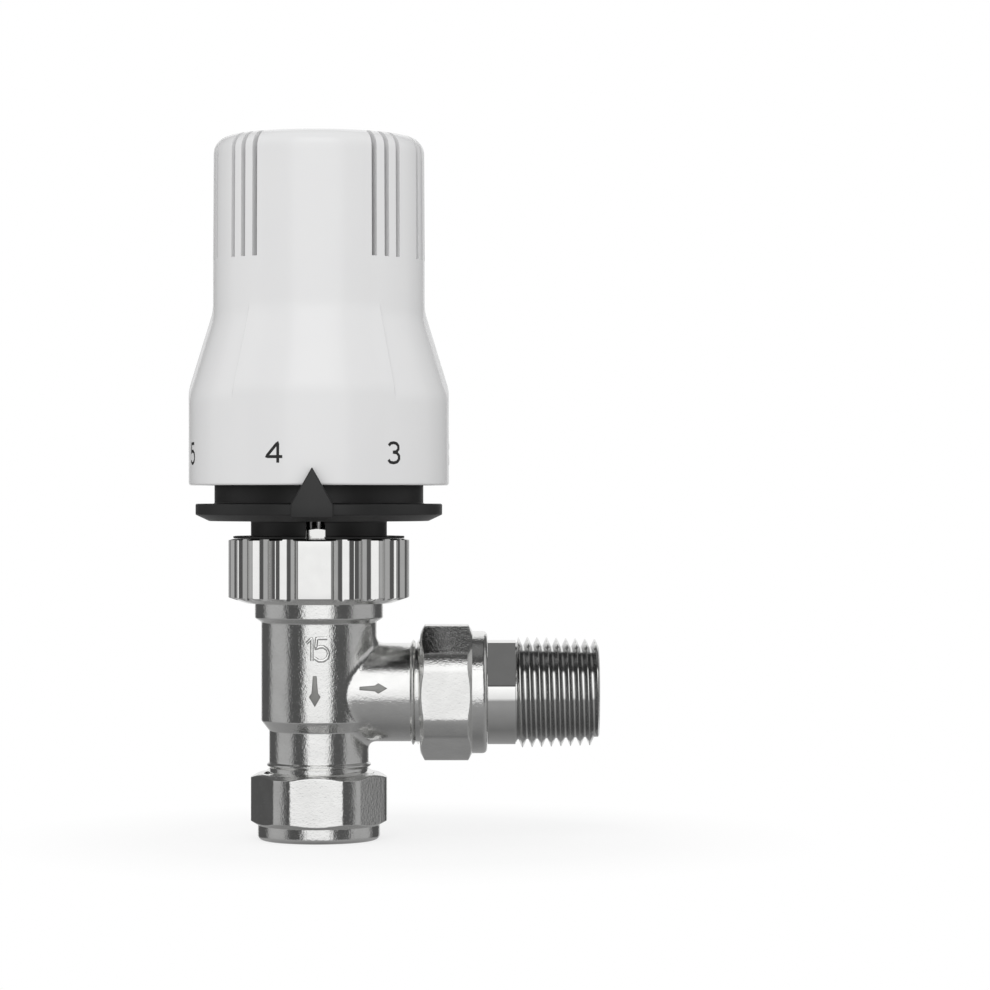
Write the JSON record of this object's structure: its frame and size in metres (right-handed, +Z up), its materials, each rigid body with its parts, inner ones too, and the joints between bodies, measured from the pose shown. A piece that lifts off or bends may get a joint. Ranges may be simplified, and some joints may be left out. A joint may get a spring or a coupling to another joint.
{
  "type": "angled radiator valve with temperature head",
  "caption": "Angled radiator valve: compression pipe inlet below, union tail with taper thread at the side, and a turning white temperature head on a knurled ring nut.",
  "frame": {"origin": "middle of the lower nut's end face, where the pipe goes in, on the spindle's axis", "axes": "+Z up the spindle axis to the head's top, +X out through the radiator tail, -Y to the pointer"},
  "size_m": [0.0775, 0.0506, 0.1327],
  "materials": {
    "nickel": "bright nickel plate",
    "brass": "turned brass",
    "steel": "drawn steel",
    "sensor_metal": "drawn can",
    "rubber": "moulded rubber",
    "black_plastic": "satin black moulding",
    "grey_plastic": "plain moulding",
    "white_plastic": "gloss white moulding"
  },
  "bodies": {
    "root": {"valve_body": "nickel", "pipe_nut": "nickel", "pipe_olive": "brass", "tail_nut": "nickel", "tail_olive": "brass", "radiator_tail": "nickel", "insert_body": "brass", "insert_seal": "rubber", "gland_nut": "nickel", "gland_seal": "rubber", "gland_washer": "brass", "return_spring": "steel", "ring_nut": "nickel", "head_base": "black_plastic"},
    "plunger": {"spindle": "steel", "spindle_clip": "steel", "disc_holder": "brass", "seat_seal": "rubber", "seal_cap": "brass", "push_rod": "grey_plastic"},
    "sensor": {"sensor_carrier": "grey_plastic", "sensor_capsule": "sensor_metal", "overtravel_spring": "steel"},
    "handle": {"handle_cap": "white_plastic", "handle_sleeve": "grey_plastic", "stop_ring": "grey_plastic", "spring_plate": "grey_plastic"}
  },
  "joints": [
    {"name": "head_lift", "type": "slide", "parent": "root", "child": "sensor", "axis": [0, 0, 1], "range_m": [-0.0017, 0.00061]},
    {"name": "dial_turn", "type": "hinge", "parent": "sensor", "child": "handle", "pos_m": [0, 0, 0.1], "axis": [0, 0, 1], "range_deg": [-204.3, 72.7]},
    {"name": "plunger_stroke", "type": "slide", "parent": "root", "child": "plunger", "axis": [0, 0, 1], "range_m": [-0.00255, 0.0006], "stiffness_N_per_m": 8000, "deforming": ["return_spring"]}
  ],
  "couplings": [
    {"joint": "dial_turn", "follows": "head_lift", "rad_per_m": 2094.4}
  ]
}
